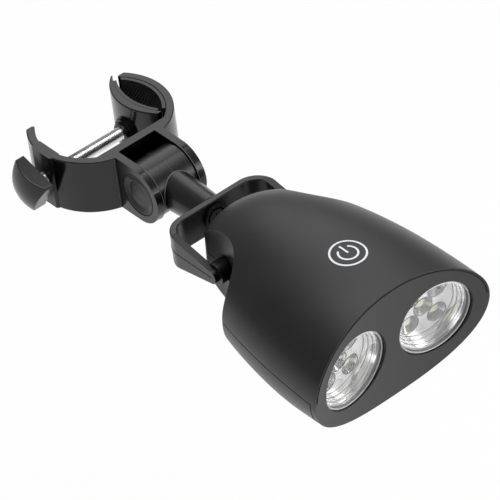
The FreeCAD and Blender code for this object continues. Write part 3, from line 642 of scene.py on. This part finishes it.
def bezel_seam(bezel):
    """Upper edge of the front face, stepped to from outside and then halved"""
    points = []
    for i in range(90):
        a = math.radians(BEZEL_TURN0 + BEZEL_TURN * i / 89)
        outside = FACE_REACH
        inside = outside - BEZEL_STEP
        while face_hit(bezel, inside, a) is None:
            outside = inside
            inside -= BEZEL_STEP
        for step in range(8):
            middle = (inside + outside) / 2
            if face_hit(bezel, middle, a) is None:
                outside = middle
            else:
                inside = middle
        points.append(face_hit(bezel, inside - BEZEL_SINK, a))
    thin_line("bezel_seam", points, BEZEL_LINE, "dark_seam_and_crease_shade", "head", HEAD_REAR)


def head_seams():
    shell = node_tree("upper_shell")
    cover = node_tree("battery_cover")
    for side, name in SIDES:
        split_seam(shell, side, name)
        cover_end(cover, side, name)
    bezel_seam(node_tree("front_bezel"))


def lens_ring(side, centre, radius, depth, count=40):
    seat = lens_matrix(side)
    points = []
    for a in turns(count):
        x = centre[0] + radius * math.cos(a)
        y = centre[1] + radius * math.sin(a)
        points.append(seat @ metres((x, y, -depth)))
    return points


def reflector_lines():
    """Grey beads of painted shade on the rims of the LED bowls and every second step of the reflector wall"""
    middle = (0.0, 0.0)
    spots = [middle]
    for k in range(4):
        a = math.pi * (k + 0.5) / 2
        spots.append((LED_RING * math.cos(a), LED_RING * math.sin(a)))
    for side, name in SIDES:
        axis = lens_matrix(side).to_3x3() @ Vector((0, 0, 1))
        for k, spot in enumerate(spots):
            rim = lens_ring(side, spot, BOWL_R - BOWL_SINK, CUP_DEPTH)
            thin_line("%s_bowl_rim_%d" % (name, k), rim, BOWL_LINE, "bowl_edge_shade", "head", axis, True)
        for k in range(0, CUP_STEPS, 2):
            step = lens_ring(side, middle, CUP_IN + k * CUP_STEP, CUP_DEPTH - k * CUP_RISE, 80)
            thin_line("%s_cup_step_%d" % (name, k), step, STEP_LINE, "bowl_edge_shade", "head", axis, True)


# Printed power symbol on the upper shell
ICON_S = 46.2
ICON_X = 1.2
ICON_RING = 6.45
ICON_RING_END = 352.5
ICON_ARC = 3.5
ICON_STROKE = 0.74
ICON_LIFT = 0.013
ICON_GAP = 36.0
ICON_BAR = 4.6

shell_tree = node_tree("upper_shell")


def on_shell(x, s):
    """Point just over the shell at a place seen from above"""
    start = HEAD @ metres((x, -s, OUTSIDE))
    hit = shell_tree.ray_cast(start, -HEAD_UP)
    return hit[0] + hit[1] * ICON_LIFT * MM


def ribbon(name, inner, outer, closed):
    count = len(inner)
    verts = [on_shell(*p) for p in inner] + [on_shell(*p) for p in outer]
    faces = []
    for i in range(count if closed else count - 1):
        k = (i + 1) % count
        faces.append((i, k, count + k, count + i))
    mesh_object(name, verts, faces, "print_white", "head")


def arc_points(radius, start, end, count):
    pts = []
    for i in range(count):
        a = math.radians(start + (end - start) * i / (count - 1))
        pts.append((ICON_X + radius * math.sin(a), ICON_S - radius * math.cos(a)))
    return pts


def power_symbol():
    half = ICON_STROKE / 2
    ring_in = arc_points(ICON_RING - half, 0, ICON_RING_END, 48)
    ring_out = arc_points(ICON_RING + half, 0, ICON_RING_END, 48)
    ribbon("symbol_ring", ring_in, ring_out, True)
    arc_in = arc_points(ICON_ARC - half, ICON_GAP, 360 - ICON_GAP, 36)
    arc_out = arc_points(ICON_ARC + half, ICON_GAP, 360 - ICON_GAP, 36)
    ribbon("symbol_arc", arc_in, arc_out, False)
    steps = [ICON_S - ICON_BAR * (1 - i / 10) for i in range(11)]
    bar_left = [(ICON_X - half, s) for s in steps]
    bar_right = [(ICON_X + half, s) for s in steps]
    ribbon("symbol_bar", bar_left, bar_right, False)


power_symbol()
clevis_lines()
barrel_line()
neck_root()
yoke_parting()
head_seams()
reflector_lines()


# Stage, lights and camera
FLOOR_Z = -0.19
FLOOR_REACH = 6.0
FLOOR_SHARE = 0.95
WORLD_LEVEL = 0.28


def area_light(name, place, aim, size, power):
    data = bpy.data.lights.new(name, "AREA")
    data.shape = "RECTANGLE"
    data.size = size[0]
    data.size_y = size[1]
    data.energy = power
    obj = bpy.data.objects.new(name, data)
    obj.location = place
    obj.rotation_euler = (Vector(aim) - Vector(place)).to_track_quat("-Z", "Y").to_euler()
    bpy.context.scene.collection.objects.link(obj)


def floor_material():
    mat, tree, bsdf = blank("studio_floor")
    rays = add(tree, "ShaderNodeLightPath").outputs
    seen = calc(tree, "MAXIMUM", rays["Is Camera Ray"], rays["Is Glossy Ray"])
    through = calc(tree, "MAXIMUM", seen, rays["Is Transmission Ray"])
    share = calc(tree, "MULTIPLY", through, FLOOR_SHARE)
    cloud = noise(tree, object_place(tree), 3.0)
    tone = add(tree, "ShaderNodeValToRGB", {"Fac": cloud})
    tone.color_ramp.elements[0].color = grey(0.8)
    tone.color_ramp.elements[1].color = grey(0.82)
    tree.links.new(tone.outputs["Color"], bsdf.inputs["Base Color"])
    bsdf.inputs["Roughness"].default_value = 0.9
    white = add(tree, "ShaderNodeEmission", {"Color": (1, 1, 1, 1), "Strength": 1.0})
    ends = {0: share, 1: bsdf.outputs["BSDF"], 2: white.outputs["Emission"]}
    mix = add(tree, "ShaderNodeMixShader", ends)
    tree.links.new(mix.outputs["Shader"], tree.nodes["Material Output"].inputs["Surface"])
    return mat


def studio():
    mesh = bpy.data.meshes.new("studio_floor")
    corners = [(x * FLOOR_REACH, y * FLOOR_REACH, FLOOR_Z) for x, y in ((-1, -1), (1, -1), (1, 1), (-1, 1))]
    mesh.from_pydata(corners, [], [(0, 1, 2, 3)])
    mesh.materials.append(floor_material())
    floor = bpy.data.objects.new("studio_floor", mesh)
    bpy.context.scene.collection.objects.link(floor)
    world = bpy.data.worlds.new("studio_world")
    bpy.context.scene.world = world
    world.use_nodes = True
    sky = world.node_tree.nodes["Background"]
    sky.inputs["Color"].default_value = (1, 1, 1, 1)
    sky.inputs["Strength"].default_value = WORLD_LEVEL
    centre = (0.0, -0.08, 0.0)
    area_light("top_soft", (0.1, -0.1, 1.2), centre, (0.8, 0.8), 11.0)
    area_light("back_right", (0.75, 0.85, 0.95), centre, (0.9, 0.9), 3.8)
    area_light("right_front", (0.9, -0.9, 0.35), centre, (0.8, 0.6), 4.5)
    area_light("front_fill", (0.45, -1.3, 0.2), centre, (0.9, 0.5), 4.5)


def camera():
    az = math.radians(CAMERA_AZIMUTH)
    el = math.radians(CAMERA_ELEVATION)
    roll = math.radians(CAMERA_ROLL)
    back = Vector((math.sin(az) * math.cos(el), -math.cos(az) * math.cos(el), math.sin(el)))
    right0 = Vector((math.cos(az), math.sin(az), 0.0))
    up0 = back.cross(right0)
    right = right0 * math.cos(roll) - up0 * math.sin(roll)
    up = right0 * math.sin(roll) + up0 * math.cos(roll)
    data = bpy.data.cameras.new("photo_camera")
    data.sensor_width = 36.0
    data.lens = CAMERA_LENS
    data.clip_start = 0.1
    data.clip_end = 50.0
    obj = bpy.data.objects.new("photo_camera", data)
    turn = Matrix((right, up, back)).transposed().to_4x4()
    obj.matrix_world = Matrix.Translation(metres(CAMERA_AIM + back * CAMERA_DISTANCE)) @ turn
    bpy.context.scene.collection.objects.link(obj)
    bpy.context.scene.camera = obj


studio()
camera()
bpy.context.scene.view_settings.view_transform = "Standard"
